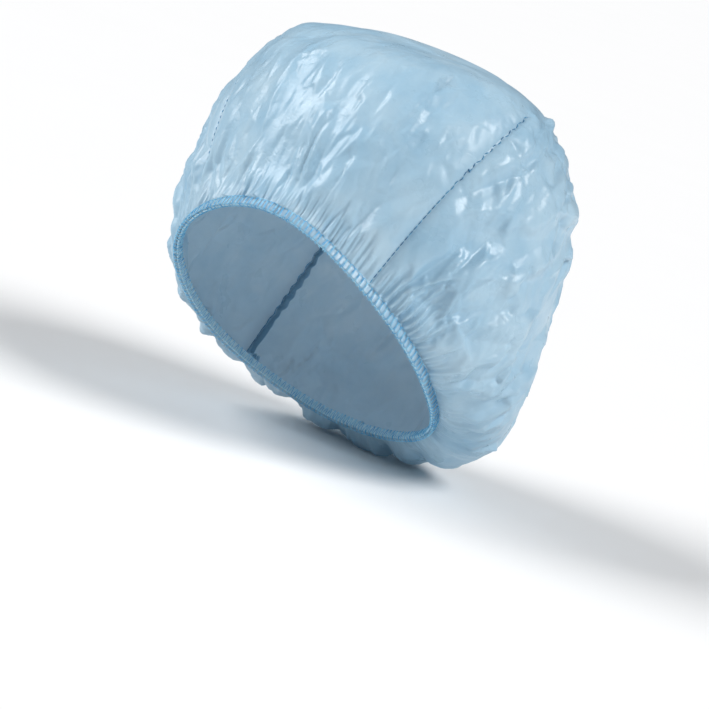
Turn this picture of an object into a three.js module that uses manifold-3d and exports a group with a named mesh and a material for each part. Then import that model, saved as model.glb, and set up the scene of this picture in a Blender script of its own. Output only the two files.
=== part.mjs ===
// Highlighting cap: a puffed bag of thin plastic film, shaped by four corner darts and
// gathered onto an elastic band. It is drawn as it sits on an upright head.
// Millimetres, +Z up, the face towards -Y and the wearer's left towards +X.
// The origin is the centre of the head opening.

import * as THREE from 'three';
import { mergeVertices } from 'three/addons/utils/BufferGeometryUtils.js';
import Module from 'manifold-3d';

const wasm = await Module();
wasm.setup();

// Head opening, along the lower edge of the band
const openingHalfWidth = 68;
const openingHalfLength = 61.5;
const openingRoundness = 2.2;
const openingRise = 50;
const openingDip = 4;

// Puffed bag above the band
const bagCentre = new THREE.Vector3(0, 30, 18.5);
const bagHalfWidth = 93;
const bagReachFront = 83;
const bagReachBack = 90;
const bagReachUp = 117.5;
const bagReachDown = 96;
const bagRoundness = 2.95;
const puffLength = 12;
const filmThickness = 0.6;

// Band: elastic inside the film edge, held by a three-thread overlock
const bandWidth = 4.5;
const gap = 0.35;
const elasticWidth = 3.6;
const elasticThickness = 0.8;
const elasticBottom = 0.4;
const elasticLapHalfAngle = THREE.MathUtils.degToRad(5);
const threadRadius = 0.2;
const overlockStitches = 72;

// Corner darts, each a folded seam that climbs from the band to the crown
const dartStartTurn = THREE.MathUtils.degToRad(47);
const dartEndTurn = THREE.MathUtils.degToRad(53);
const dartBow = THREE.MathUtils.degToRad(-2);
const dartStartClimb = 0.02;
const dartEndClimb = 0.53;
const allowanceRoot = 0.45;
const allowanceDepth = 6;
const allowanceThickness = 1.2;
const seamDepth = 2.2;

// Facets
const turnSteps = 72;
const climbSteps = 15;
const dartSteps = 20;

const filmMaterial = new THREE.MeshStandardMaterial({ color: 0xa7c4d7, roughness: 0.28, metalness: 0 });
const elasticMaterial = new THREE.MeshStandardMaterial({ color: 0x8fcfee, roughness: 0.7, metalness: 0 });
const threadMaterial = new THREE.MeshStandardMaterial({ color: 0x4aa3d6, roughness: 0.6, metalness: 0 });

// The cap's own axis is square to the plane of the head opening. On the head it leans back.
const capAxis = new THREE.Vector3(0, openingRise, openingHalfLength).normalize();
const capBack = new THREE.Vector3(0, openingHalfLength, -openingRise).normalize();
const capLeft = new THREE.Vector3(1, 0, 0);

// Length of a ray from the middle of a superellipse to its outline
function superellipse(across, along, halfAcross, halfAlong, power) {
  const sum = Math.abs(across / halfAcross) ** power + Math.abs(along / halfAlong) ** power;
  return sum ** (-1 / power);
}

// Lower edge of the band. A turn of 0 is the forehead, a quarter turn is the wearer's left.
function openingPoint(turn) {
  const left = Math.sin(turn);
  const front = Math.cos(turn);
  const reach = superellipse(left, front, openingHalfWidth, openingHalfLength, openingRoundness);
  const height = openingRise * front + openingDip * Math.cos(2 * turn);
  return new THREE.Vector3(reach * left, -reach * front, height);
}

// Distance from the bag's centre to its fully puffed skin along a unit direction
function puffedDistance(direction) {
  const lengthways = direction.y / (direction.y < 0 ? bagReachFront : bagReachBack);
  const level = Math.hypot(direction.x / bagHalfWidth, lengthways);
  const reachUp = direction.z < 0 ? bagReachDown : bagReachUp;
  return superellipse(level, direction.z, 1, reachUp, bagRoundness);
}

// Unit direction from the bag's centre, by its angle round the cap's axis and above its waist
function bagDirection(azimuth, elevation) {
  const direction = new THREE.Vector3();
  direction.addScaledVector(capLeft, Math.cos(elevation) * Math.sin(azimuth));
  direction.addScaledVector(capBack, -Math.cos(elevation) * Math.cos(azimuth));
  return direction.addScaledVector(capAxis, Math.sin(elevation));
}

// Outer face of the film. The climb runs from -1 at the film's edge to 0 at the top of the
// band, and on to 1 at the crown.
function skinPoint(turn, climb) {
  const lift = bandWidth * (1 + Math.min(climb, 0));
  const point = openingPoint(turn).addScaledVector(capAxis, lift);
  if (climb <= 0) return point;
  const start = point.sub(bagCentre);
  const startDistance = start.length();
  const azimuth = Math.atan2(start.dot(capLeft), -start.dot(capBack));
  const waist = Math.asin(start.dot(capAxis) / startDistance);
  const pinch = 1 - startDistance / puffedDistance(bagDirection(azimuth, waist));
  const swing = (Math.PI / 2 - waist) * climb;
  const direction = bagDirection(azimuth, waist + swing);
  const puffed = puffedDistance(direction);
  const distance = puffed * (1 - pinch * Math.exp(-swing * puffed / puffLength));
  return direction.multiplyScalar(distance).add(bagCentre);
}

// Outward normal of the film
function skinNormal(turn, climb) {
  if (climb > 0.999) return skinNormal(turn, 0.98).add(skinNormal(turn + Math.PI, 0.98)).normalize();
  const step = 0.002;
  const here = skinPoint(turn, climb);
  const around = skinPoint(turn + step, climb).sub(skinPoint(turn - step, climb)).normalize();
  const above = skinPoint(turn, climb + step).sub(here).normalize();
  const below = here.clone().sub(skinPoint(turn, Math.max(climb - step, -1))).normalize();
  return around.cross(above.add(below)).normalize();
}

// Place beside the band: how far out from the film's outer face, how far up from its edge
function bandPoint(turn, out, up) {
  return openingPoint(turn).addScaledVector(skinNormal(turn, -0.5), out).addScaledVector(capAxis, up);
}

// A dart's line on the film, at a fraction of its length. The rear darts mirror the front ones.
function dartPlace(fraction, side, isRear) {
  const along = THREE.MathUtils.lerp(dartStartTurn, dartEndTurn, fraction);
  const turn = along + dartBow * Math.sin(Math.PI * fraction);
  const climb = THREE.MathUtils.lerp(dartStartClimb, dartEndClimb, fraction);
  return { turn: side * (isRear ? Math.PI - turn : turn), climb };
}

// Place beside a dart: how far to its side, and how deep under the film's outer face
function dartPoint(fraction, side, isRear, sideways, depth) {
  const step = 0.01;
  const place = dartPlace(fraction, side, isRear);
  const before = dartPlace(fraction - step, side, isRear);
  const after = dartPlace(fraction + step, side, isRear);
  const along = skinPoint(after.turn, after.climb).sub(skinPoint(before.turn, before.climb)).normalize();
  const normal = skinNormal(place.turn, place.climb);
  const across = along.cross(normal).normalize();
  return skinPoint(place.turn, place.climb).addScaledVector(across, sideways).addScaledVector(normal, -depth);
}

// Six times the signed volume, which is positive when the faces point out
function signedVolume(positions, indices) {
  const a = new THREE.Vector3();
  const b = new THREE.Vector3();
  const c = new THREE.Vector3();
  let sum = 0;
  for (let i = 0; i < indices.length; i += 3) {
    a.fromBufferAttribute(positions, indices[i]);
    b.fromBufferAttribute(positions, indices[i + 1]);
    c.fromBufferAttribute(positions, indices[i + 2]);
    sum += a.dot(b.cross(c));
  }
  return sum;
}

// Bends a plain geometry by moving each vertex, as a closed solid with its faces out
function bend(geometry, place) {
  geometry.deleteAttribute('normal');
  geometry.deleteAttribute('uv');
  const bent = mergeVertices(geometry, 1e-4);
  const positions = bent.getAttribute('position');
  const vertex = new THREE.Vector3();
  for (let i = 0; i < positions.count; i += 1) {
    const moved = place(vertex.fromBufferAttribute(positions, i));
    positions.setXYZ(i, moved.x, moved.y, moved.z);
  }
  const indices = [];
  const source = bent.index.array;
  for (let i = 0; i < source.length; i += 3) {
    const [a, b, c] = source.slice(i, i + 3);
    if (a !== b && b !== c && c !== a) indices.push(a, b, c);
  }
  bent.setIndex(signedVolume(positions, indices) > 0 ? indices : indices.reverse());
  bent.computeVertexNormals();
  return bent;
}

function toManifold(geometry) {
  const vertProperties = new Float32Array(geometry.getAttribute('position').array);
  const triVerts = new Uint32Array(geometry.index.array);
  return new wasm.Manifold(new wasm.Mesh({ numProp: 3, vertProperties, triVerts }));
}

function fromManifold(solid) {
  const mesh = solid.getMesh();
  const geometry = new THREE.BufferGeometry();
  geometry.setAttribute('position', new THREE.BufferAttribute(mesh.vertProperties, 3));
  geometry.setIndex(new THREE.BufferAttribute(mesh.triVerts, 1));
  geometry.computeVertexNormals();
  return geometry;
}

// The film bag: a lathe's closed profile runs up the inside and back down the outside. Its
// radius carries the climb, 1 at the top of the band and 0 at the crown, and its height the face.
function filmBag() {
  const climbs = [-1, -0.5];
  for (let i = 0; i <= climbSteps; i += 1) climbs.push((i / climbSteps) ** 1.4);
  const inside = climbs.map((climb) => new THREE.Vector2(1 - climb, 0)).reverse();
  const outside = climbs.map((climb) => new THREE.Vector2(1 - climb, 1));
  const lathe = new THREE.LatheGeometry([...inside, ...outside], turnSteps);
  return bend(lathe, (vertex) => {
    const turn = Math.atan2(vertex.x, vertex.z);
    const climb = 1 - Math.hypot(vertex.x, vertex.z);
    const depth = filmThickness * (1 - vertex.y);
    return skinPoint(turn, climb).addScaledVector(skinNormal(turn, climb), -depth);
  });
}

// The two folded edges of a dart, which stand inwards and narrow towards the crown
function dartAllowance(side, isRear) {
  const box = new THREE.BoxGeometry(1, 1, 1, 1, 1, dartSteps);
  return bend(box, (vertex) => {
    const fraction = vertex.z + 0.5;
    const full = allowanceDepth * Math.min(1, 0.25 + 6 * (1 - fraction));
    const depth = THREE.MathUtils.lerp(allowanceRoot, full, vertex.y + 0.5);
    return dartPoint(fraction, side, isRear, vertex.x * allowanceThickness, depth);
  });
}

function filmBody(darts) {
  let solid = toManifold(filmBag());
  for (const { side, isRear } of darts) solid = solid.add(toManifold(dartAllowance(side, isRear)));
  return fromManifold(solid);
}

// Step inwards of the elastic's end where it laps over its start at the nape
function lapStep(turn) {
  const pastLap = (turn - (Math.PI - elasticLapHalfAngle)) / elasticLapHalfAngle;
  const step = elasticThickness + gap;
  return step * THREE.MathUtils.clamp(pastLap / 0.5 + 1, 0, 1);
}

// One strip of elastic that starts behind the nape, goes round the head and laps over itself
function elasticBand() {
  const strip = new THREE.BoxGeometry(1, 1, 1, turnSteps, 1, 1);
  return bend(strip, (vertex) => {
    const reach = Math.PI + elasticLapHalfAngle;
    const turn = 2 * reach * vertex.x;
    const face = filmThickness + gap + elasticThickness * (0.5 - vertex.z) + lapStep(turn);
    const up = elasticBottom + elasticWidth * (vertex.y + 0.5);
    return bandPoint(turn, -face, up);
  });
}

// A thread that runs all the way round the band, straight or in a zigzag between two heights
function bandThread(outAt, lowUp, highUp) {
  const ringRadius = 2;
  const ring = new THREE.TorusGeometry(ringRadius, 1, 4, 2 * overlockStitches);
  return bend(ring, (vertex) => {
    const turn = Math.atan2(vertex.y, vertex.x);
    const step = Math.round((turn / Math.PI) * overlockStitches);
    const up = step % 2 === 0 ? lowUp : highUp;
    const sideways = Math.hypot(vertex.x, vertex.y) - ringRadius;
    return bandPoint(turn, outAt(turn) + threadRadius * sideways, up + threadRadius * vertex.z);
  });
}

function needleThread() {
  const up = elasticBottom + elasticWidth;
  return bandThread(() => gap + threadRadius, up, up);
}

function upperLooperThread() {
  const high = elasticBottom + elasticWidth - 2 * threadRadius - gap;
  return bandThread(() => gap + threadRadius, elasticBottom, high);
}

// The lower looper covers the elastic, and steps over its lap
function lowerLooperThread() {
  const inner = filmThickness + elasticThickness + 2 * gap + threadRadius;
  const lap = elasticThickness + gap;
  const lapReach = 2.2 * elasticLapHalfAngle;
  const outAt = (turn) => {
    const fromNape = Math.PI - Math.abs(turn);
    return -inner - lap * THREE.MathUtils.clamp(2 * (1 - fromNape / lapReach), 0, 1);
  };
  return bandThread(outAt, elasticBottom, elasticBottom + elasticWidth);
}

// One of the two threads that close a dart, on one face of its allowance
function dartThread(side, isRear, face) {
  const thread = new THREE.CylinderGeometry(threadRadius, threadRadius, 1, 4, dartSteps);
  const beside = face * (allowanceThickness / 2 + gap + threadRadius);
  return bend(thread, (vertex) => {
    const fraction = 0.01 + 0.93 * (vertex.y + 0.5);
    return dartPoint(fraction, side, isRear, beside + vertex.x, seamDepth + vertex.z);
  });
}

const darts = [
  { name: 'front_left_dart', side: 1, isRear: false },
  { name: 'front_right_dart', side: -1, isRear: false },
  { name: 'rear_left_dart', side: 1, isRear: true },
  { name: 'rear_right_dart', side: -1, isRear: true },
];

const cap = new THREE.Group();

function addPiece(name, geometry, material) {
  const piece = new THREE.Mesh(geometry, material);
  piece.name = name;
  cap.add(piece);
}

addPiece('film_body', filmBody(darts), filmMaterial);
addPiece('elastic_band', elasticBand(), elasticMaterial);
addPiece('rim_needle_thread', needleThread(), threadMaterial);
addPiece('rim_upper_looper_thread', upperLooperThread(), threadMaterial);
addPiece('rim_lower_looper_thread', lowerLooperThread(), threadMaterial);
for (const { name, side, isRear } of darts) {
  addPiece(`${name}_needle_thread`, dartThread(side, isRear, 1), threadMaterial);
  addPiece(`${name}_bobbin_thread`, dartThread(side, isRear, -1), threadMaterial);
}

export default cap;
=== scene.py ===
"""Highlighting cap of thin plastic film, gathered onto an overlocked elastic band.

Metres, +Z up, the face towards -Y, the wearer's left towards +X, the origin at the centre of
the head opening. The film is a sheet that starts as the puffed shape with random creases
pressed into it. It is then relaxed in code: it holds more film than that shape has room for,
so it buckles into gathers and folds.
"""
import math

import bpy
import numpy as np
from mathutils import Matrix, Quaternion, Vector
from mathutils.geometry import delaunay_2d_cdt


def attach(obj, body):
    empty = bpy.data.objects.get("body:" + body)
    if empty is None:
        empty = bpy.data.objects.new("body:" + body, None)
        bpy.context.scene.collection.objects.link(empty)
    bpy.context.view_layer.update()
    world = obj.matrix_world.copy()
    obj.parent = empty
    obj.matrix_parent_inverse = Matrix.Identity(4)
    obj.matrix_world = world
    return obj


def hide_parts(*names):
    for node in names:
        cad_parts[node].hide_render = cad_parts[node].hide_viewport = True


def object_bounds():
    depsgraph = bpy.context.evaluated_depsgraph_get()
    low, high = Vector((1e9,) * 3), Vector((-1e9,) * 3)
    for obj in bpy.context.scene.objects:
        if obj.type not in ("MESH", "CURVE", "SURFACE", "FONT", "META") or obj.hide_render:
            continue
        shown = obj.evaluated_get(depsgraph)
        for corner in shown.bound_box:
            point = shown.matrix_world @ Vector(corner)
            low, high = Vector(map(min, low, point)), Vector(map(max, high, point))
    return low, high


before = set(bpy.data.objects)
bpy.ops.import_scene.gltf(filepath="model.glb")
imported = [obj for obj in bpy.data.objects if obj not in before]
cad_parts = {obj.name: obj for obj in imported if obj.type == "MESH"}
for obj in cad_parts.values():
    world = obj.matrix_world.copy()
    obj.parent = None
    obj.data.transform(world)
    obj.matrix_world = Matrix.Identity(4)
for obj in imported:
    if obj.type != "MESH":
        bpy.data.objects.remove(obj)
cad_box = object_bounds()
scene = bpy.context.scene

# Head opening, along the lower edge of the band
OPENING_HALF_WIDTH = 0.068
OPENING_HALF_LENGTH = 0.0615
OPENING_ROUNDNESS = 2.2
OPENING_RISE = 0.050
OPENING_DIP = 0.004

# Puffed bag above the band
BAG_CENTRE = np.array([0.0, 0.030, 0.0185])
BAG_HALF_WIDTH = 0.093
BAG_REACH_FRONT = 0.083
BAG_REACH_BACK = 0.090
BAG_REACH_UP = 0.1175
BAG_REACH_DOWN = 0.096
BAG_ROUNDNESS = 2.95
PUFF_LENGTH = 0.012

# Band and darts
BAND_WIDTH = 0.0045
DART_START_TURN = math.radians(47)
DART_END_TURN = math.radians(53)
DART_BOW = math.radians(-2)
DART_END_CLIMB = 0.53

# Where a front dart ends, the bag stands out in a soft corner
CORNER_PEAK = 0.0045
CORNER_SPREAD = 0.020
BAG_RADIUS_AT_CORNER = 0.085
WALL_LENGTH_AT_CORNER = 0.2

# Elastic and overlock stitching. The elastic keeps clear of a film as thick as the CAD's.
FILM_THICKNESS = 0.0006
GAP = 0.00035
ELASTIC_WIDTH = 0.0036
ELASTIC_THICKNESS = 0.0008
ELASTIC_BOTTOM = 0.0004
ELASTIC_LAP = math.radians(5)
STITCHES = 180
THREAD_RADIUS = 0.00014

# The cap's own axis is square to the head opening
SLOPE_LENGTH = math.hypot(OPENING_RISE, OPENING_HALF_LENGTH)
CAP_AXIS = np.array([0, OPENING_RISE, OPENING_HALF_LENGTH]) / SLOPE_LENGTH
CAP_BACK = np.array([0, OPENING_HALF_LENGTH, -OPENING_RISE]) / SLOPE_LENGTH
CAP_LEFT = np.array([1.0, 0.0, 0.0])


# ---------------------------------------------------------------- camera, light and floor

CAMERA_AZIMUTH = math.radians(29.4)
CAMERA_ELEVATION = math.radians(9.0)
CAMERA_ROLL = math.radians(17.4)
CAMERA_DISTANCE = 1.5
CAMERA_LENS = 168.7
AIM_RIGHT = 0.0223
AIM_DOWN = 0.0107

ROOM_COLOUR = (0.93, 0.95, 1.0)
ROOM_STRENGTH = 0.13
BACKDROP_COLOUR = (0.93, 0.93, 0.93)
EXPOSURE = 0.12
FLOOR_GAP = 0.001
FLOOR_REACH = 12


def make_camera():
    azimuth, elevation = CAMERA_AZIMUTH, CAMERA_ELEVATION
    back = Vector((
        math.sin(azimuth) * math.cos(elevation),
        -math.cos(azimuth) * math.cos(elevation),
        math.sin(elevation),
    ))
    turn = Quaternion(back, CAMERA_ROLL) @ (-back).to_track_quat("-Z", "Y")
    aim = turn @ Vector((AIM_RIGHT, -AIM_DOWN, 0))
    camera = bpy.data.objects.new("camera", bpy.data.cameras.new("camera"))
    scene.collection.objects.link(camera)
    camera.rotation_mode = "QUATERNION"
    camera.rotation_quaternion = turn
    camera.location = aim + back * CAMERA_DISTANCE
    camera.data.lens = CAMERA_LENS
    camera.data.sensor_width = 36
    camera.data.clip_start = 0.05
    camera.data.clip_end = 50
    scene.camera = camera


def far_light(name, place, width, strength):
    """A soft light far away, some degrees wide, so that it falls evenly on the floor."""
    light = bpy.data.lights.new(name, "SUN")
    light.angle = math.radians(width)
    light.energy = strength
    lamp = bpy.data.objects.new(name, light)
    scene.collection.objects.link(lamp)
    lamp.rotation_mode = "QUATERNION"
    lamp.rotation_quaternion = Vector(place).to_track_quat("Z", "Y")


def make_world():
    """The room gives little light, so that the folds show. The camera sees a pale backdrop."""
    world = bpy.data.worlds.new("studio")
    world.use_nodes = True
    background = world.node_tree.nodes["Background"]
    background.inputs["Color"].default_value = (*ROOM_COLOUR, 1)
    background.inputs["Strength"].default_value = ROOM_STRENGTH
    backdrop = world.node_tree.nodes.new("ShaderNodeBackground")
    backdrop.inputs["Color"].default_value = (*BACKDROP_COLOUR, 1)
    seen = world.node_tree.nodes.new("ShaderNodeLightPath")
    choice = world.node_tree.nodes.new("ShaderNodeMixShader")
    join = world.node_tree.links.new
    join(seen.outputs["Is Camera Ray"], choice.inputs[0])
    join(background.outputs[0], choice.inputs[1])
    join(backdrop.outputs[0], choice.inputs[2])
    join(choice.outputs[0], world.node_tree.nodes["World Output"].inputs["Surface"])
    scene.world = world


def make_floor():
    height = cad_box[0].z - FLOOR_GAP
    signs = ((-1, -1), (1, -1), (1, 1), (-1, 1))
    corners = [(FLOOR_REACH * across, FLOOR_REACH * along, height) for across, along in signs]
    mesh = bpy.data.meshes.new("floor")
    mesh.from_pydata(corners, [], [(0, 1, 2, 3)])
    floor = bpy.data.objects.new("floor", mesh)
    scene.collection.objects.link(floor)
    mesh.materials.append(floor_material())


def make_studio():
    far_light("key_light", (-0.90, -0.50, 0.75), 38, 2.3)
    far_light("back_light", (0.85, 0.00, 0.85), 30, 2.2)
    make_world()
    scene.view_settings.view_transform = "Standard"
    scene.view_settings.exposure = EXPOSURE
    make_floor()


# ---------------------------------------------------------------- materials

# Colours, from the deeper to the paler shade of each
FLOOR_SHADES = ((0.8, 0.8, 0.8), (0.93, 0.93, 0.93))
FILM_SHADES = ((0.345, 0.545, 0.695), (0.455, 0.635, 0.755))
FILM_LIT_THROUGH = ((0.50, 0.74, 0.88), (0.62, 0.80, 0.92))
FILM_CLEAR_TINT = (0.80, 0.92, 0.98)
ELASTIC_SHADES = ((0.50, 0.74, 0.86), (0.66, 0.84, 0.92))
BAND_THREAD_SHADES = ((0.06, 0.40, 0.72), (0.30, 0.68, 0.90))
# The dart thread's deep blue is partly its own colour and partly painted shade of the narrow seam
# valley it lies in
DART_THREAD_AND_SEAM_SHADE = ((0.01, 0.13, 0.30), (0.05, 0.30, 0.52))

# Scales of the patterns: the higher, the finer
FLOOR_TONES = 6
FILM_CLOUDS = 38
FILM_PATCHES = 55
FILM_CREASES = 130
FILM_FINE_PATCHES = 70
FILM_FINE_CREASES = 330
FILM_GRAIN = 420
FILM_GLOSS = 90
THREAD_TONES = 420
THREAD_PLIES = 900
ELASTIC_TONES = 300
ELASTIC_BRAID = 1500

FILM_IOR = 1.52
FILM_TRANSLUCENCY = 0.05
FILM_CLEARNESS = 0.07


class Shader:
    """A node material under construction. Inputs given as sockets are linked, others are set."""

    def __init__(self, name):
        self.material = bpy.data.materials.new(name)
        self.material.use_nodes = True
        self.tree = self.material.node_tree
        self.tree.nodes.clear()
        self.place = self.add("ShaderNodeTexCoord").outputs["Object"]

    def add(self, kind, inputs=(), **settings):
        node = self.tree.nodes.new(kind)
        for name, value in settings.items():
            setattr(node, name, value)
        for name, value in dict(inputs).items():
            if isinstance(value, bpy.types.NodeSocket):
                self.tree.links.new(value, node.inputs[name])
            else:
                node.inputs[name].default_value = value
        return node

    def noise(self, scale, detail=3, roughness=0.5, warp=0):
        return self.add("ShaderNodeTexNoise", {
            "Vector": self.place, "Scale": scale, "Detail": detail,
            "Roughness": roughness, "Distortion": warp,
        }).outputs["Fac"]

    def spread(self, value, low, high, start, end):
        """Spreads the stretch from low to high over the one from start to end."""
        return self.add("ShaderNodeMapRange", {
            "Value": value, "From Min": low, "From Max": high, "To Min": start, "To Max": end,
        }).outputs["Result"]

    def sum(self, *terms, operation="ADD"):
        """Adds up its terms, or joins them by another operation."""
        total = terms[0]
        for term in terms[1:]:
            total = self.add("ShaderNodeMath", {0: total, 1: term}, operation=operation).outputs[0]
        return total

    def blend(self, share, first, second):
        """A colour between two others."""
        inputs = {0: share, 6: (*first, 1), 7: (*second, 1)}
        return self.add("ShaderNodeMix", inputs, data_type="RGBA").outputs[2]

    def mix(self, share, first, second):
        """A surface between two others."""
        return self.add("ShaderNodeMixShader", {0: share, 1: first.outputs[0], 2: second.outputs[0]})

    def bump(self, height, strength, distance):
        return self.add("ShaderNodeBump", {
            "Height": height, "Strength": strength, "Distance": distance,
        }).outputs["Normal"]

    def finish(self, surface):
        output = self.add("ShaderNodeOutputMaterial")
        self.tree.links.new(surface, output.inputs["Surface"])
        return self.material


def floor_material():
    shader = Shader("floor_pale")
    tone = shader.spread(shader.noise(FLOOR_TONES), 0.3, 0.7, 0.88, 0.92)
    surface = shader.add("ShaderNodeBsdfPrincipled", {
        "Base Color": shader.blend(tone, *FLOOR_SHADES), "Roughness": 0.8,
    })
    return shader.finish(surface.outputs[0])


def creases(shader, scale, shift):
    """Sharp little ridges where crumpled film has been pressed flat and let go."""
    warp = shader.add("ShaderNodeTexNoise", {"Vector": shader.place, "Scale": scale * 0.6, "Detail": 2})
    vector = "ShaderNodeVectorMath"
    moved = shader.add(vector, {0: warp.outputs["Color"], "Scale": 1.1 / scale}, operation="SCALE")
    place = shader.add(vector, {0: shader.place, 1: moved.outputs[0]}, operation="ADD")
    shifted = shader.add(vector, {0: place.outputs[0], 1: (shift, 0, shift)}, operation="ADD")
    cells = shader.add("ShaderNodeTexVoronoi", {"Vector": shifted.outputs[0], "Scale": scale},
                       feature="DISTANCE_TO_EDGE")
    return shader.sum(cells.outputs["Distance"], 0.25, operation="MINIMUM")


def film_material():
    """Thin light-blue film: glossy, a little cloudy, and it lets some light through."""
    shader = Shader("film")
    cloud = shader.noise(FILM_CLOUDS, 4, 0.55, 0.3)
    milky = shader.spread(cloud, 0.35, 0.68, 0, 1)
    colour = shader.blend(milky, *FILM_SHADES)
    patches = shader.spread(shader.noise(FILM_PATCHES, 2), 0.42, 0.62, 0.15, 1)
    relief = shader.sum(creases(shader, FILM_CREASES, 3.1), patches, operation="MULTIPLY")
    fine_creases = creases(shader, FILM_FINE_CREASES, 1.7)
    fine_patches = shader.spread(shader.noise(FILM_FINE_PATCHES, 2), 0.45, 0.62, 0, 0.5)
    fine = shader.sum(fine_creases, fine_patches, operation="MULTIPLY")
    grain = shader.sum(shader.noise(FILM_GRAIN, 3), 0.05, operation="MULTIPLY")
    height = shader.sum(relief, fine, grain)
    normal = shader.bump(height, 0.45, 0.0009)
    gloss = shader.spread(shader.noise(FILM_GLOSS, 3), 0.35, 0.7, 0.27, 0.43)
    surface = shader.add("ShaderNodeBsdfPrincipled", {
        "Base Color": colour, "Roughness": gloss, "IOR": FILM_IOR, "Normal": normal,
    })
    through = shader.add("ShaderNodeBsdfTranslucent", {
        "Color": shader.blend(milky, *FILM_LIT_THROUGH), "Normal": normal,
    })
    clear = shader.add("ShaderNodeBsdfTransparent", {"Color": (*FILM_CLEAR_TINT, 1)})
    mixed = shader.mix(FILM_TRANSLUCENCY, surface, through)
    return shader.finish(shader.mix(FILM_CLEARNESS, mixed, clear).outputs[0])


def thread_material(name, shades):
    """Polyester thread: plies twisted together, unevenly dyed from a deep to a pale shade."""
    shader = Shader(name)
    tone = shader.spread(shader.noise(THREAD_TONES, 2), 0.40, 0.60, 0, 1)
    colour = shader.blend(tone, *shades)
    plies = shader.add("ShaderNodeTexWave", {
        "Vector": shader.place, "Scale": THREAD_PLIES, "Distortion": 2, "Detail": 1,
    }, bands_direction="DIAGONAL")
    surface = shader.add("ShaderNodeBsdfPrincipled", {
        "Base Color": colour, "Roughness": 0.45, "Sheen Weight": 0.3,
        "Normal": shader.bump(plies.outputs["Fac"], 0.5, 0.0001),
    })
    return shader.finish(surface.outputs[0])


def elastic_material():
    """Pale blue elastic, braided over rubber cores."""
    shader = Shader("elastic")
    tone = shader.spread(shader.noise(ELASTIC_TONES, 3), 0.35, 0.65, 0, 1)
    colour = shader.blend(tone, *ELASTIC_SHADES)
    braid = shader.add("ShaderNodeTexVoronoi", {"Vector": shader.place, "Scale": ELASTIC_BRAID})
    surface = shader.add("ShaderNodeBsdfPrincipled", {
        "Base Color": colour, "Roughness": 0.6,
        "Normal": shader.bump(braid.outputs["Distance"], 0.5, 0.00015),
    })
    return shader.finish(surface.outputs[0])


# ---------------------------------------------------------------- shape of the puffed bag

def superellipse(across, along, half_across, half_along, power):
    """How far out a rounded box lies in the direction (across, along)."""
    return (np.abs(across / half_across) ** power + np.abs(along / half_along) ** power) ** (-1 / power)


def opening_point(turn):
    """Edge of the band at a turn, which counts from the forehead over the wearer's left."""
    left, front = np.sin(turn), np.cos(turn)
    reach = superellipse(left, front, OPENING_HALF_WIDTH, OPENING_HALF_LENGTH, OPENING_ROUNDNESS)
    height = OPENING_RISE * front + OPENING_DIP * np.cos(2 * turn)
    return np.stack([reach * left, -reach * front, height], -1)


def puffed_distance(direction):
    """How far the puffed bag reaches from its centre."""
    lengthways = direction[..., 1] / np.where(direction[..., 1] < 0, BAG_REACH_FRONT, BAG_REACH_BACK)
    level = np.hypot(direction[..., 0] / BAG_HALF_WIDTH, lengthways)
    reach_up = np.where(direction[..., 2] < 0, BAG_REACH_DOWN, BAG_REACH_UP)
    return superellipse(level, direction[..., 2], 1, reach_up, BAG_ROUNDNESS)


def bag_direction(azimuth, elevation):
    """A direction given by its angles about the cap's own axis."""
    level = np.cos(elevation)
    return ((level * np.sin(azimuth))[..., None] * CAP_LEFT
            - (level * np.cos(azimuth))[..., None] * CAP_BACK
            + np.sin(elevation)[..., None] * CAP_AXIS)


def skin_point(turn, climb):
    """Puffed film at a turn round the opening and a climb from 0 at the band to 1 at the crown."""
    start = opening_point(turn) + BAND_WIDTH * CAP_AXIS - BAG_CENTRE
    distance = np.linalg.norm(start, axis=-1)
    azimuth = np.arctan2(start[..., 0], -(start @ CAP_BACK))
    waist = np.arcsin((start @ CAP_AXIS) / distance)
    pinch = 1 - distance / puffed_distance(bag_direction(azimuth, waist))
    swing = (math.pi / 2 - waist) * climb
    direction = bag_direction(azimuth, waist + swing)
    puffed = puffed_distance(direction)
    reach = puffed * (1 - pinch * np.exp(-swing * puffed / PUFF_LENGTH))
    for side in (-1, 1):
        away = np.abs(np.mod(turn - side * DART_END_TURN + math.pi, 2 * math.pi) - math.pi)
        corner = away * BAG_RADIUS_AT_CORNER
        above = (climb - DART_END_CLIMB) * WALL_LENGTH_AT_CORNER
        reach = reach + CORNER_PEAK * np.exp(-(corner ** 2 + above ** 2) / CORNER_SPREAD ** 2)
    return BAG_CENTRE + reach[..., None] * direction


def dart_turn(climb):
    """The turn of the front left dart's line, which stays the same above the dart's end."""
    fraction = np.clip(climb / DART_END_CLIMB, 0, 1)
    straight = DART_START_TURN + (DART_END_TURN - DART_START_TURN) * fraction
    return straight + DART_BOW * np.sin(math.pi * fraction)


TOP_ROW_CLIMB = 0.985


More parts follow.
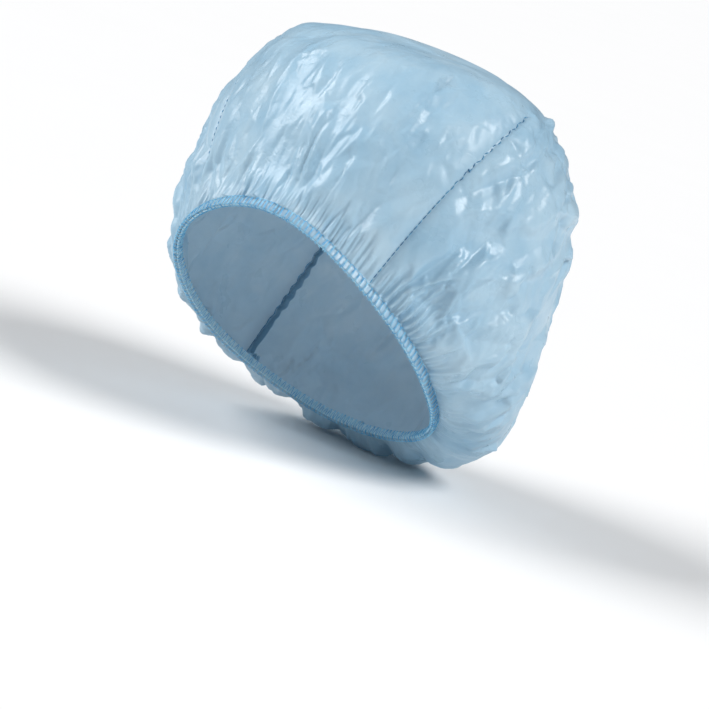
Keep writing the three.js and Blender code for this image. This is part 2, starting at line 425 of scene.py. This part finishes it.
class FilmGrid:
    """Rows climb from the band to the crown. Columns are spaced so that one follows each dart."""

    def __init__(self, rows, columns):
        climb = np.linspace(0, TOP_ROW_CLIMB, rows)
        panel = np.linspace(0, 4, columns, endpoint=False)
        self.climb, self.panel = np.meshgrid(climb, panel, indexing="ij")
        self.turn = self.turn_at(self.panel, self.climb)
        self.place = skin_point(self.turn, self.climb)
        around = np.roll(self.place, -1, 1) - np.roll(self.place, 1, 1)
        normal = np.cross(around, np.gradient(self.place, axis=0))
        self.normal = normal / np.linalg.norm(normal, axis=-1, keepdims=True)
        steps = np.linalg.norm(np.diff(self.place, axis=0), axis=-1)
        self.height = np.concatenate([np.zeros((1, columns)), np.cumsum(steps, axis=0)])
        hub = self.place - BAG_CENTRE
        self.radius = np.linalg.norm(hub - (hub @ CAP_AXIS)[..., None] * CAP_AXIS, axis=-1)
        self.to_dart = self.distance_to_dart()
        self.weights = regions(self)
        self.place = self.place + self.normal * crumples(self)[..., None]

    @staticmethod
    def turn_at(panel, climb):
        """The four panels meet at the darts: panel 0.5 is the front left dart, 3.5 the front right."""
        dart = dart_turn(climb)
        shifted = np.mod(panel + 0.5, 4)
        which = np.floor(shifted).astype(int)
        low = np.choose(which, [-dart, dart, math.pi - dart, math.pi + dart])
        high = np.choose(which, [dart, math.pi - dart, math.pi + dart, 2 * math.pi - dart])
        return low + (high - low) * (shifted - which)

    def distance_to_dart(self):
        """How far each point lies beside its nearest dart line."""
        dart = dart_turn(self.climb)
        shifted = np.mod(self.panel + 0.5, 4)
        width = np.where(np.floor(shifted) % 2 == 0, 2 * dart, math.pi - 2 * dart)
        part = np.mod(shifted, 1)
        return np.minimum(part, 1 - part) * width * self.radius


# ---------------------------------------------------------------- spare film and folds

# Where the rumpled side panels start and grow calmer, in degrees round from the forehead
SIDE_START = (48, 60)
SIDE_REAR = (92, 125)
REAR_CALM = 0.6
# Where they end and where the crown starts, in metres of film above the band
SIDE_TOP = (0.110, 0.170)
CROWN_START = (0.085, 0.135)
# How far the puckers reach beside a dart's seam, and the rumples round its end
PUCKER_WIDTH = 0.007
TIP_WIDTH = 0.012
WALL_LENGTH_AT_TIP = 0.23


def fade(low, high, value):
    """Rises smoothly from 0 at low to 1 at high."""
    share = np.clip((value - low) / (high - low), 0, 1)
    return share * share * (3 - 2 * share)


def regions(grid):
    """Weights that say how rumpled each stretch of film is: side panels, dart seams, dart ends."""
    degrees = np.degrees(np.abs(np.mod(grid.turn + math.pi, 2 * math.pi) - math.pi))
    below_crown = 1 - fade(*SIDE_TOP, grid.height)
    side = fade(*SIDE_START, degrees) * (1 - REAR_CALM * fade(*SIDE_REAR, degrees)) * below_crown
    sewn = 1 - fade(DART_END_CLIMB - 0.02, DART_END_CLIMB + 0.02, grid.climb)
    pucker = np.exp(-(grid.to_dart / PUCKER_WIDTH) ** 2) * sewn
    past_end = (grid.climb - DART_END_CLIMB) * WALL_LENGTH_AT_TIP
    tip = np.exp(-(grid.to_dart ** 2 + past_end ** 2) / TIP_WIDTH ** 2)
    return side, pucker, tip


def facets(across, along, points, heights):
    """Flat facets between scattered points: the relief of film that has been creased."""
    flat = [Vector(point) for point in points]
    corners, _, triangles, origins, _, _ = delaunay_2d_cdt(flat, [], [], 0, 1e-9)
    places = np.array([corner[:] for corner in corners])
    levels = np.array([heights[origin[0]] for origin in origins])
    spots = np.stack([across.ravel(), along.ravel()], -1)
    order = np.argsort(spots[:, 0])
    sorted_across = spots[order, 0]
    relief = np.zeros(len(spots))
    for triangle in triangles:
        a, b, c = places[list(triangle)]
        low, high = np.searchsorted(sorted_across, [min(a[0], b[0], c[0]), max(a[0], b[0], c[0])])
        chosen = order[low:high]
        near = spots[chosen]
        keep = (near[:, 1] >= min(a[1], b[1], c[1])) & (near[:, 1] <= max(a[1], b[1], c[1]))
        chosen = chosen[keep]
        near = near[keep] - a
        edge, other = b - a, c - a
        size = edge[0] * other[1] - edge[1] * other[0]
        if abs(size) < 1e-12 or not len(chosen):
            continue
        second = (near[:, 0] * other[1] - near[:, 1] * other[0]) / size
        third = (edge[0] * near[:, 1] - edge[1] * near[:, 0]) / size
        inside = (second >= -1e-9) & (third >= -1e-9) & (second + third <= 1 + 1e-9)
        second, third = second[inside], third[inside]
        level_a, level_b, level_c = levels[list(triangle)]
        slope = (level_b - level_a) * second
        relief[chosen[inside]] = level_a + slope + (level_c - level_a) * third
    return relief.reshape(across.shape)


# The wall unrolled: the way round it, the way up it, and how much is repeated at each end
WAY_ROUND = 0.565
WAY_UP = 0.24
WRAP_MARGIN = 0.12


def creased_wall(grid, seed, width, length, lean):
    """Facets on the cap's wall, drawn out along the film and leaning to the back on the sides."""
    random = np.random.default_rng(seed)
    lean_back = grid.height * lean * np.sin(grid.turn)
    slanted = np.mod(grid.turn * WAY_ROUND / (2 * math.pi) - lean_back, WAY_ROUND)
    squeeze = width / length
    tall = WAY_UP * squeeze
    count = int(WAY_ROUND * tall / width ** 2)
    points = random.uniform((0, -0.1 * tall), (WAY_ROUND, 1.05 * tall), (count, 2))
    heights = random.uniform(-1, 1, count)
    wrapped = np.concatenate([points - (WAY_ROUND, 0), points, points + (WAY_ROUND, 0)])
    near = (wrapped[:, 0] > -WRAP_MARGIN) & (wrapped[:, 0] < WAY_ROUND + WRAP_MARGIN)
    return facets(slanted, grid.height * squeeze, wrapped[near], np.tile(heights, 3)[near])


CROWN_REACH = 0.15


def creased_crown(grid, seed, spacing):
    """Broad facets over the top of the cap."""
    random = np.random.default_rng(seed)
    count = int((2 * CROWN_REACH / spacing) ** 2)
    points = random.uniform(-CROWN_REACH, CROWN_REACH, (count, 2))
    return facets(grid.place[..., 0], grid.place[..., 1], points, random.uniform(-1, 1, count))


# Creases from broad to fine: seed, width, length, lean, height on the sides and at the front
WALL_CREASES = [(5, 0.016, 0.034, 0.20, 0.0013, 0.0009),
                (6, 0.0085, 0.020, 0.25, 0.0036, 0.0016),
                (7, 0.0045, 0.010, 0.20, 0.0017, 0.0007),
                (10, 0.0028, 0.006, -0.3, 0.0006, 0.0003)]
# Creases on the crown: seed, spacing and height
CROWN_CREASES = [(8, 0.034, 0.0018), (9, 0.062, 0.0021)]
CREASE_LIMIT = 0.0024
# Above the band the film is drawn smooth, and the seams keep most creases away
CREASE_START = (0.004, 0.018)
CALM_AT_SEAM = 0.75


def crumples(grid):
    """How high the creases stand that are pressed into the puffed shape."""
    side, pucker, _ = grid.weights
    crown = fade(*CROWN_START, grid.height)
    front = (1 - side) * (1 - crown)
    free = fade(*CREASE_START, grid.height) * (1 - CALM_AT_SEAM * pucker)
    relief = np.zeros(grid.turn.shape)
    for seed, width, length, lean, side_height, front_height in WALL_CREASES:
        height = side_height * side + front_height * front
        relief += height * creased_wall(grid, seed, width, length, lean)
    relief += crown * sum(height * creased_crown(grid, seed, spacing)
                          for seed, spacing, height in CROWN_CREASES)
    return CREASE_LIMIT * np.tanh(relief / CREASE_LIMIT) * free


PATCH_WAVES = 24
PATCH_SWING = 0.20
PATCH_LIMIT = 2.5


def patchy(grid, seed, size):
    """Smooth random patches, about 1 on average."""
    random = np.random.default_rng(seed)
    field = np.ones(grid.turn.shape)
    for _ in range(PATCH_WAVES):
        heading = random.normal(0, 1 / size, 3)
        field += PATCH_SWING * np.sin(grid.place @ heading + random.uniform(0, 2 * math.pi))
    return np.clip(field, 0, PATCH_LIMIT)


# Spare film, as a share of the shape's own length. The gathers die away over these heights.
TIGHT_GATHERS = 0.60
TIGHT_HEIGHT = 0.007
LONG_GATHERS = 0.28
LONG_HEIGHT = 0.024
UPWARD_GATHERS = 0.03
UPWARD_HEIGHT = 0.025
SPARE_ON_SIDES = 0.05
SPARE_AT_PUCKERS = 0.07
SPARE_AT_TIPS = 0.05
SPARE_EVERYWHERE = 0.004
# There is none towards the crown's pole, where the columns meet
SPARE_ENDS = (0.74, 0.90)


def spare_film(grid):
    """How much longer the film is than the puffed shape, round the cap and up it."""
    side, pucker, tip = grid.weights
    height = grid.height
    patch = patchy(grid, 21, 0.009)
    drawn = 0.5 + 0.7 * patchy(grid, 22, 0.016)
    tight = TIGHT_GATHERS * np.exp(-height / TIGHT_HEIGHT)
    gathered = tight + LONG_GATHERS * np.exp(-height / (LONG_HEIGHT * drawn))
    sides = SPARE_ON_SIDES * side * patch
    tips = SPARE_AT_TIPS * tip
    around = gathered * (0.4 + 0.6 * patch) + sides + tips + SPARE_EVERYWHERE
    upward = sides + UPWARD_GATHERS * np.exp(-height / UPWARD_HEIGHT)
    upward = upward + SPARE_AT_PUCKERS * pucker * patch + tips + SPARE_EVERYWHERE
    share = 1 - fade(*SPARE_ENDS, grid.climb)
    return around * share, upward * share


# ---------------------------------------------------------------- relaxing the film

def smooth_twice(field, reach):
    """Averages a field over a square window, twice, wrapping round the cap."""
    for _ in range(2):
        wrapped = np.concatenate([field[:, -reach:], field, field[:, :reach]], 1)
        total = np.cumsum(wrapped, 1)
        total = np.concatenate([np.zeros((total.shape[0], 1), total.dtype), total], 1)
        field = (total[:, 2 * reach + 1:] - total[:, :-2 * reach - 1]) / (2 * reach + 1)
        edge = np.zeros((reach, field.shape[1]), field.dtype)
        total = np.cumsum(np.concatenate([edge, field, edge], 0), 0)
        total = np.concatenate([np.zeros((1, total.shape[1]), total.dtype), total], 0)
        field = (total[2 * reach + 1:] - total[:-2 * reach - 1]) / (2 * reach + 1)
    return field


def lengths(a, b):
    """Distances between two rows of points."""
    return np.linalg.norm(a - b, axis=-1)


# From a coarse grid to a fine one: rows, columns, rounds, stiffness against bending, jitter
FILM_LEVELS = [(40, 120, 300, 0.22, 0.0009),
               (80, 240, 260, 0.20, 0.00003),
               (160, 480, 180, 0.14, 0.00003),
               (240, 720, 70, 0.07, 0.00003)]
# How far the film may stray from the puffed shape before it is pushed back: everywhere, and
# how much more on the sides
INWARD_LIMIT = (0.0016, 0.0022)
OUTWARD_LIMIT = (0.0028, 0.0032)
# The dart seams are held down below the film, and their upper ends wave from side to side
SEAM_PULL = 0.4
SEAM_DEPTH = 0.0022
SCALLOP_REACH = 0.0007
SCALLOP_LENGTH = 0.0065
SCALLOP_START = (0.045, 0.065)
SCALLOP_OFFSET = 9
# Shares of each push that the film takes in one round, and of its speed that it keeps
STRETCH_SHARE = 0.33
LIMIT_SHARE = 0.5
SPREAD_SHARE = 0.05
SLIDE_SHARE = 0.01
SPEED_KEPT = 0.9
# The film keeps to the puffed shape on average over this many rows of the coarsest grid each way
SPREAD_ROWS = 3


def relax_film(grid, film, rounds, bend):
    """Lets the film find its folds: each thread of the grid pushes or pulls to its own length."""
    single = np.float32
    around, upward = spare_film(grid)
    place = grid.place.astype(single)
    normal = grid.normal.astype(single)
    film = film.astype(single)
    rows, columns = grid.turn.shape
    right = np.roll(place, -1, 1)
    base_round = lengths(right, place)
    base_up = lengths(place[1:], place[:-1])
    want_round = base_round * (1 + around)
    want_up = base_up * (1 + (upward[1:] + upward[:-1]) / 2)
    base_slant = np.hypot(base_up, (base_round[1:] + base_round[:-1]) / 2)
    want_slant = np.hypot(want_up, (want_round[1:] + want_round[:-1]) / 2)
    grow = want_slant / base_slant
    rising = (lengths(right[1:], place[:-1]) * grow)[..., None].astype(single)
    falling = (lengths(place[1:], right[:-1]) * grow)[..., None].astype(single)
    want_round = want_round[..., None].astype(single)
    want_up = want_up[..., None].astype(single)
    free = np.ones((rows, columns, 1), single)
    free[0] = 0
    free[-1] = 0
    side = grid.weights[0]
    inward = (INWARD_LIMIT[0] + INWARD_LIMIT[1] * side).astype(single)
    outward = (OUTWARD_LIMIT[0] + OUTWARD_LIMIT[1] * side).astype(single)
    sewn = (np.abs(np.mod(grid.panel + 0.5, 1)) < 1e-6) & (grid.climb < DART_END_CLIMB)
    sewn = (SEAM_PULL * sewn).astype(single)[..., None]
    wave = np.sin(2 * math.pi * grid.height / SCALLOP_LENGTH + SCALLOP_OFFSET * grid.panel)
    scallop = SCALLOP_REACH * wave * fade(*SCALLOP_START, grid.height)
    sideways = right - place
    sideways /= np.linalg.norm(sideways, axis=-1, keepdims=True)
    seam_floor = place - normal * single(SEAM_DEPTH) + sideways * scallop[..., None].astype(single)
    round_bend = np.roll(place, 1, 1) + right - 2 * place
    up_bend = place[2:] + place[:-2] - 2 * place[1:-1]
    window = max(1, round(rows / FILM_LEVELS[0][0] * SPREAD_ROWS))
    speed = np.zeros_like(film)

    def stretch(a, b, want, share):
        step = b - a
        length = np.sqrt((step * step).sum(-1, keepdims=True))
        return step * ((length - want) / length * single(share))

    for _ in range(rounds):
        push = np.zeros_like(film)
        beside = np.roll(film, -1, 1)
        pull = stretch(film, beside, want_round, 0.5)
        push += pull - np.roll(pull, 1, 1)
        pull = stretch(film[:-1], film[1:], want_up, 0.5)
        push[:-1] += pull
        push[1:] -= pull
        pull = stretch(film[:-1], beside[1:], rising, 0.25)
        push[:-1] += pull
        push[1:] -= np.roll(pull, 1, 1)
        pull = stretch(beside[:-1], film[1:], falling, 0.25)
        push[:-1] += np.roll(pull, 1, 1)
        push[1:] -= pull
        push *= single(STRETCH_SHARE)
        push += single(bend / 2) * (np.roll(film, 1, 1) + beside - 2 * film - round_bend)
        push[1:-1] += single(bend / 2) * (film[2:] + film[:-2] - 2 * film[1:-1] - up_bend)
        shift = film - place
        rise = (shift * normal).sum(-1)
        beyond = np.maximum(rise - outward, 0) - np.maximum(-inward - rise, 0)
        spread = smooth_twice(rise, window)
        push -= (single(LIMIT_SHARE) * beyond + single(SPREAD_SHARE) * spread)[..., None] * normal
        push -= single(SLIDE_SHARE) * (shift - rise[..., None] * normal)
        push -= sewn * (film - seam_floor)
        speed = (speed * single(SPEED_KEPT) + push) * free
        film = film + speed
    return film


def refine(coarse, fine, film):
    """Carries the film's displacement to a finer grid."""
    shift = film - coarse.place
    rows, columns = coarse.turn.shape
    fine_rows, fine_columns = fine.turn.shape
    row = np.linspace(0, rows - 1, fine_rows)
    low = np.minimum(row.astype(int), rows - 2)
    part = (row - low)[:, None, None]
    shift = shift[low] * (1 - part) + shift[low + 1] * part
    column = np.arange(fine_columns) * columns / fine_columns
    low = column.astype(int)
    part = (column - low)[None, :, None]
    return fine.place + shift[:, low] * (1 - part) + shift[:, (low + 1) % columns] * part


SETTLED_CROWN = (0.78, 0.93)


def folded_film():
    """The film's finest grid and where its points come to rest."""
    random = np.random.default_rng(11)
    grid = film = None
    for rows, columns, rounds, bend, jitter in FILM_LEVELS:
        finer = FilmGrid(rows, columns)
        film = finer.place if film is None else refine(grid, finer, film)
        grid = finer
        film = film + grid.normal * random.normal(0, jitter, grid.turn.shape)[..., None]
        film = relax_film(grid, film, rounds, bend)
        settled = fade(*SETTLED_CROWN, grid.climb)[..., None]
        film = film + (grid.place - film) * settled
    return grid, film


# ---------------------------------------------------------------- pieces

def make_piece(name, points, faces, material, slot, *nodes):
    """A smooth-shaded mesh that stands for the CAD nodes named last."""
    mesh = bpy.data.meshes.new(name)
    mesh.from_pydata(np.asarray(points).tolist(), [], faces)
    mesh.polygons.foreach_set("use_smooth", [True] * len(mesh.polygons))
    mesh.update()
    mesh.materials.append(material)
    piece = bpy.data.objects.new(name, mesh)
    scene.collection.objects.link(piece)
    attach(piece, "root")
    if nodes:
        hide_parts(*nodes)
    return piece


def grid_faces(rows, columns):
    """Faces of a grid that is closed round its columns."""
    index = np.arange(rows * columns).reshape(rows, columns)
    beside = np.roll(index, -1, 1)
    return np.stack([index[:-1], beside[:-1], beside[1:], index[1:]], -1).reshape(-1, 4).tolist()


def band_point(turn, out, up):
    """Place beside the band: how far out from the film's outer face, how far up from its edge."""
    step = 1e-4
    along = opening_point(turn + step) - opening_point(turn - step)
    outward = np.cross(along, CAP_AXIS)
    outward /= np.linalg.norm(outward, axis=-1, keepdims=True)
    edge = opening_point(turn)
    return edge + np.asarray(out)[..., None] * outward + np.asarray(up)[..., None] * CAP_AXIS


# Film at the band, from its turned-in edge up the face: out, up, and how far it puffs out
HEM = [(-0.00055, 0.0016, 0), (-0.00060, 0.0009, 0.0001), (-0.00045, 0.0003, 0.0002),
       (-0.0001, 0.0, 0.0003), (0.0, 0.0005, 0.0003), (0.0, 0.0011, 0.0003), (0.0, 0.0018, 0.0003),
       (0.0, 0.0025, 0.0003), (0.0, 0.0032, 0.0003), (0.0, 0.0038, 0.0002), (-0.0001, 0.0041, 0.0001)]
# The hem puffs out unevenly between the stitches, and its ripples die away up the film
HEM_UNEVENNESS = 0.35
HEM_JITTER = 0.00004
RIPPLE_REACH = 0.0003
RIPPLE_HEIGHT = 0.0015


def make_film(material):
    """One sheet: the hem round the elastic, the folded wall, and a cap of triangles at the crown."""
    grid, film = folded_film()
    rows, columns = grid.turn.shape
    turn = grid.turn[0]
    level = 0 * turn
    random = np.random.default_rng(31)
    uneven = 1 + HEM_UNEVENNESS * np.sin(turn * 23 + 1) * np.sin(turn * 61)
    puff = 0.5 - 0.5 * np.cos(turn * STITCHES)
    hem = []
    for out, up, swell in HEM:
        jitter = random.normal(0, HEM_JITTER, columns)
        hem.append(band_point(turn, out + swell * puff * uneven + jitter, up + level))
    outward = band_point(turn, 1 + level, level) - band_point(turn, level, level)
    ripple = RIPPLE_REACH * (puff - 0.5) * np.exp(-grid.height / RIPPLE_HEIGHT)
    film = film + ripple[..., None] * outward
    crown = film[-1].mean(0, keepdims=True)
    points = np.concatenate([np.array(hem).reshape(-1, 3), film.reshape(-1, 3), crown])
    rows += len(hem)
    faces = grid_faces(rows, columns)
    last = (rows - 1) * columns
    faces += [(last + i, last + (i + 1) % columns, rows * columns) for i in range(columns)]
    piece = make_piece("film_bag", points, faces, material, "film", "film_body")
    return piece, grid, film


def seam_line(grid, film, dart):
    """Points and outward directions up one dart. Darts count round from the front left one."""
    columns = grid.turn.shape[1]
    column = (2 * dart + 1) * columns // 8
    sewn = grid.climb[:, column] < DART_END_CLIMB
    return film[sewn, column], grid.normal[sewn, column]


DART_NAMES = ["front_left_dart", "rear_left_dart", "rear_right_dart", "front_right_dart"]
ALLOWANCE_START = 0.0004
ALLOWANCE_DEPTH = 0.0052
FLAP_ROWS = 7
FLAP_GAP = 0.00012
FLAP_SPLAY = 0.0012
FLAP_WAVE = 0.0005
# Points of the seam over which a flap's wave is averaged
FLAP_WAVE_LENGTH = 25


def make_allowances(material, grid, film):
    """The folded edges of each dart stand inwards in two wavy flaps."""
    random = np.random.default_rng(41)
    points, faces = [], []
    for dart in range(len(DART_NAMES)):
        line, outward = seam_line(grid, film, dart)
        count = len(line)
        along = np.gradient(line, axis=0)
        sideways = np.cross(along, outward)
        sideways /= np.linalg.norm(sideways, axis=-1, keepdims=True)
        fraction = np.linspace(0, 1, count)
        # A flap is narrow at the band and tapers towards the dart's end
        narrowing = np.clip(6 * (1 - fraction), 0.12, 1) * np.clip(0.4 + 8 * fraction, 0, 1)
        for flap in (-1, 1):
            steps = random.normal(0, 1, count + FLAP_WAVE_LENGTH - 1)
            wave = np.convolve(steps, np.hanning(FLAP_WAVE_LENGTH) / 5, "valid")
            start = len(points)
            for depth in np.linspace(0, 1, FLAP_ROWS):
                lean = flap * (FLAP_GAP + FLAP_SPLAY * depth ** 1.5) + FLAP_WAVE * depth * wave
                inward = ALLOWANCE_START + ALLOWANCE_DEPTH * depth * narrowing
                points.extend(line - outward * inward[:, None] + sideways * lean[:, None])
            index = start + np.arange(FLAP_ROWS * count).reshape(FLAP_ROWS, count)
            corners = [index[:-1, :-1], index[:-1, 1:], index[1:, 1:], index[1:, :-1]]
            faces += np.stack(corners, -1).reshape(-1, 4).tolist()
    return make_piece("dart_allowances", points, faces, material, "film")


def lap_step(turn):
    """How far inwards the elastic's end steps where it laps over its start at the nape."""
    past_lap = (turn - (math.pi - ELASTIC_LAP)) / ELASTIC_LAP
    return (ELASTIC_THICKNESS + GAP) * np.clip(past_lap / 0.5 + 1, 0, 1)


ELASTIC_RIBS = 8
POINTS_PER_RIB = 6
ELASTIC_POINTS_ALONG = 1100
# Shares of the elastic's thickness
RIB_SWELL = 0.07
EDGE_ROUNDING = 0.12
STITCH_PINCH = 0.05


def make_elastic(material):
    """A strip with ribs along it, whose braid pinches a little at every stitch."""
    turn = np.linspace(-math.pi - ELASTIC_LAP, math.pi + ELASTIC_LAP, ELASTIC_POINTS_ALONG)
    across = np.linspace(0, 1, POINTS_PER_RIB * ELASTIC_RIBS + 1)
    swell = RIB_SWELL * np.abs(np.sin(across * math.pi * ELASTIC_RIBS)) * ELASTIC_THICKNESS
    edge = EDGE_ROUNDING * ELASTIC_THICKNESS * (np.abs(2 * across - 1) ** 12)
    middle = FILM_THICKNESS + GAP + ELASTIC_THICKNESS / 2
    half = ELASTIC_THICKNESS / 2 - RIB_SWELL * ELASTIC_THICKNESS
    face = list(zip(half - edge + swell, across))
    outline = face + [(-out, part) for out, part in reversed(face)]
    pinch = 1 - STITCH_PINCH * np.cos(turn * STITCHES)
    inward = middle + lap_step(turn)
    rings = []
    for out, part in outline:
        up = ELASTIC_BOTTOM + ELASTIC_WIDTH * part + 0 * turn
        rings.append(band_point(turn, -inward + out * pinch, up))
    count = len(outline)
    index = np.arange(count * len(turn)).reshape(count, len(turn))
    beside = np.roll(index, -1, 0)
    corners = [index[:, :-1], index[:, 1:], beside[:, 1:], beside[:, :-1]]
    faces = np.stack(corners, -1).reshape(-1, 4).tolist()
    faces += [index[::-1, 0].tolist(), index[:, -1].tolist()]
    points = np.array(rings).reshape(-1, 3)
    return make_piece("braided_elastic", points, faces, material, "elastic", "elastic_band")


def smooth_path(points, steps, closed):
    """A Catmull-Rom curve through the points."""
    points = np.asarray(points)
    if closed:
        before, start, end, after = (np.roll(points, shift, 0) for shift in (1, 0, -1, -2))
    else:
        padded = np.concatenate([points[:1], points, points[-1:]])
        before, start, end, after = padded[:-3], padded[1:-2], padded[2:-1], padded[3:]
    part = np.linspace(0, 1, steps, endpoint=False)[None, :, None]
    before, start, end, after = (place[:, None] for place in (before, start, end, after))
    squared = (2 * before - 5 * start + 4 * end - after) * part ** 2
    cubed = (3 * start - before - 3 * end + after) * part ** 3
    curve = 0.5 * (2 * start + (end - before) * part + squared + cubed)
    curve = curve.reshape(-1, 3)
    return curve if closed else np.concatenate([curve, points[-1:]])


def make_thread(name, path, closed, radius, material, node):
    """A round thread along a path. A closed path makes a ring."""
    data = bpy.data.curves.new(name, "CURVE")
    data.dimensions = "3D"
    data.bevel_depth = radius
    data.bevel_resolution = 1
    data.use_fill_caps = not closed
    spline = data.splines.new("POLY")
    spline.points.add(len(path) - 1)
    spline.points.foreach_set("co", np.concatenate([path, np.ones((len(path), 1))], 1).ravel())
    spline.use_cyclic_u = closed
    drawn = bpy.data.objects.new(name + "_line", data)
    scene.collection.objects.link(drawn)
    bpy.context.view_layer.update()
    mesh = bpy.data.meshes.new_from_object(drawn.evaluated_get(bpy.context.evaluated_depsgraph_get()))
    bpy.data.objects.remove(drawn)
    points = np.array([vertex.co[:] for vertex in mesh.vertices])
    faces = [tuple(polygon.vertices) for polygon in mesh.polygons]
    return make_piece(name, points, faces, material, "thread", node)


# How unevenly the stitches are spaced, as a share of one, and how far they stray up and down
STITCH_SHIFT = 0.07
STITCH_STRAY = 0.00006
# The threads step inwards over this many lengths of the elastic's lap on each side of the nape
LAP_REACH = 2.2


def stitched_path(shape, seed, slant):
    """Repeats one stitch round the band."""
    random = np.random.default_rng(seed)
    path = []
    for stitch in range(STITCHES):
        shift = random.normal(0, STITCH_SHIFT)
        lean = random.normal(0, slant)
        for part, up, out, lapped in shape:
            turn = 2 * math.pi * (stitch + part + shift + lean * up / BAND_WIDTH) / STITCHES
            from_nape = abs(math.pi - turn) / (LAP_REACH * ELASTIC_LAP)
            step = lapped * (ELASTIC_THICKNESS + GAP) * np.clip(2 * (1 - from_nape), 0, 1)
            path.append(band_point(turn, out - step, up + random.normal(0, STITCH_STRAY)))
    return path


# One stitch of each overlock thread: part of a stitch, up, out, and share of the step at the lap
NEEDLE_STITCH = [(0.00, 0.0041, -0.0001, 0), (0.12, 0.0042, 0.0004, 0), (0.45, 0.0043, 0.0006, 0),
                 (0.78, 0.0042, 0.0004, 0)]
UPPER_STITCH = [(0.02, -0.0001, 0.0003, 0), (0.05, 0.0008, 0.0007, 0), (0.09, 0.0024, 0.0007, 0),
                (0.10, 0.0038, 0.0006, 0), (0.22, 0.0040, 0.0006, 0), (0.24, 0.0026, 0.0007, 0),
                (0.26, 0.0009, 0.0007, 0), (0.32, -0.0001, 0.0004, 0), (0.65, -0.0003, 0.0001, 0)]
LOWER_STITCH = [(0.00, -0.0002, 0.0004, 0), (0.08, -0.0004, -0.0003, 0.5), (0.15, 0.0001, -0.0020, 1),
                (0.28, 0.0018, -0.0023, 1), (0.42, 0.0037, -0.0023, 1), (0.58, 0.0037, -0.0023, 1),
                (0.72, 0.0018, -0.0023, 1), (0.85, 0.0001, -0.0020, 1), (0.92, -0.0004, -0.0003, 0.5)]
BAND_THREADS = [("needle_stitches", "rim_needle_thread", NEEDLE_STITCH, 51, 0),
                ("upper_looper_stitches", "rim_upper_looper_thread", UPPER_STITCH, 52, 0.10),
                ("lower_looper_stitches", "rim_lower_looper_thread", LOWER_STITCH, 53, 0.08)]

# Each dart's needle thread has one knot, at a share of the seam. Its bobbin thread lies inside.
DART_STITCH = 0.0030
POINTS_PER_DART_STITCH = 8
DART_SEAM_START = 0.0015
DART_THREAD_RADIUS = 0.00022
KNOT_PLACE = 0.58
KNOT_RADIUS = 0.0006
KNOT_POINTS = 20
BOBBIN_DEPTH = 0.0021
BOBBIN_ASIDE = 0.0010


def make_band_threads(material):
    for name, node, shape, seed, slant in BAND_THREADS:
        path = smooth_path(stitched_path(shape, seed, slant), 3, True)
        make_thread(name, path, True, THREAD_RADIUS, material, node)


def make_dart_threads(material, grid, film):
    """The needle thread shows as dashes down in the seam, its deep blue partly the thread's own colour
    and partly painted shade of the seam's valley; the bobbin thread runs along inside.
    """
    for dart, name in enumerate(DART_NAMES):
        line, outward = seam_line(grid, film, dart)
        run = np.concatenate([[0], np.cumsum(np.linalg.norm(np.diff(line, axis=0), axis=-1))])
        count = int(run[-1] / DART_STITCH * POINTS_PER_DART_STITCH)
        at = np.linspace(DART_SEAM_START, run[-1], count)
        place = np.stack([np.interp(at, run, line[:, axis]) for axis in range(3)], -1)
        out = np.stack([np.interp(at, run, outward[:, axis]) for axis in range(3)], -1)
        phase = 2 * math.pi * at / DART_STITCH
        rise = 0.00015 + 0.00035 * np.cos(phase)
        stitches = place + out * rise[:, None]
        tied = int(KNOT_PLACE * count)
        loop = np.linspace(0, 4 * math.pi, KNOT_POINTS)[:, None]
        across = np.cross(out[tied], place[tied + 1] - place[tied - 1])
        across /= np.linalg.norm(across)
        coil = np.cos(loop) * across + (1 + np.sin(loop)) * out[tied] * 0.8
        knot = stitches[tied] + KNOT_RADIUS * coil
        path = smooth_path(np.concatenate([stitches[:tied], knot, stitches[tied + 1:]]), 2, False)
        make_thread(name + "_needle_stitches", path, False, DART_THREAD_RADIUS, material,
                    name + "_needle_thread")
        sink = -BOBBIN_DEPTH + 0.0001 * np.cos(phase + math.pi)
        side = np.cross(np.gradient(place, axis=0), out)
        side /= np.linalg.norm(side, axis=-1, keepdims=True)
        path = smooth_path(place + out * sink[:, None] + side * BOBBIN_ASIDE, 2, False)
        make_thread(name + "_bobbin_stitches", path, False, THREAD_RADIUS, material,
                    name + "_bobbin_thread")


make_camera()
make_studio()
film = film_material()
film_piece, film_grid, film_shape = make_film(film)
allowances = make_allowances(film, film_grid, film_shape)
elastic = make_elastic(elastic_material())
make_band_threads(thread_material("thread_blue", BAND_THREAD_SHADES))
# The dart threads' deep blue carries painted shade for the valleys of the seams
make_dart_threads(thread_material("dart_thread_painted_shade", DART_THREAD_AND_SEAM_SHADE), film_grid, film_shape)

bpy.context.view_layer.update()
